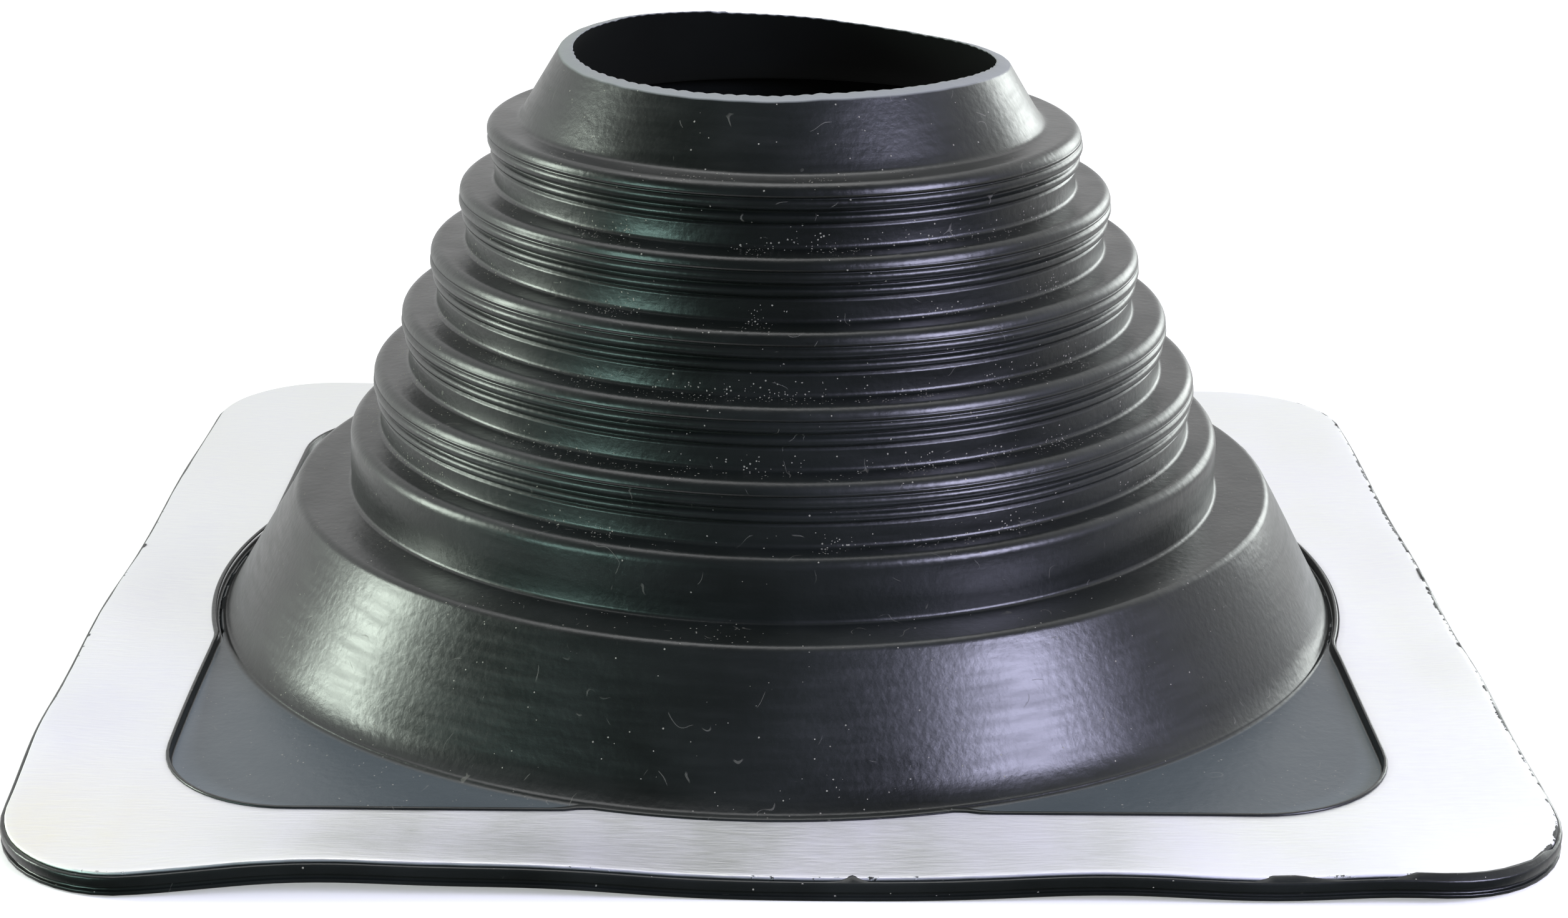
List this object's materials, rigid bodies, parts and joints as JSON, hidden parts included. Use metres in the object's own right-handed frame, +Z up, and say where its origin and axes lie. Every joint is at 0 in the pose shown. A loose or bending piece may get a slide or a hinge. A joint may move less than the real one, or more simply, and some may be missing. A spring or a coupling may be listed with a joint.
{
  "type": "pipe flashing boot",
  "caption": "Stepped conical rubber boot on a square flange with a soft aluminium frame, that seals a pipe where it passes through a roof.",
  "frame": {"origin": "on the axis of the boot, at the underside of the flange", "axes": "+Z up along the axis of the boot towards its trimmed mouth, +X to the right and -Y to the front, both square to the flange's sides"},
  "size_m": [0.28, 0.28, 0.1199],
  "materials": {
    "rubber_boot": "satin",
    "aluminium_flange": "satin"
  },
  "bodies": {
    "root": {"rubber_boot": "rubber_boot", "aluminium_flange": "aluminium_flange"}
  },
  "joints": []
}
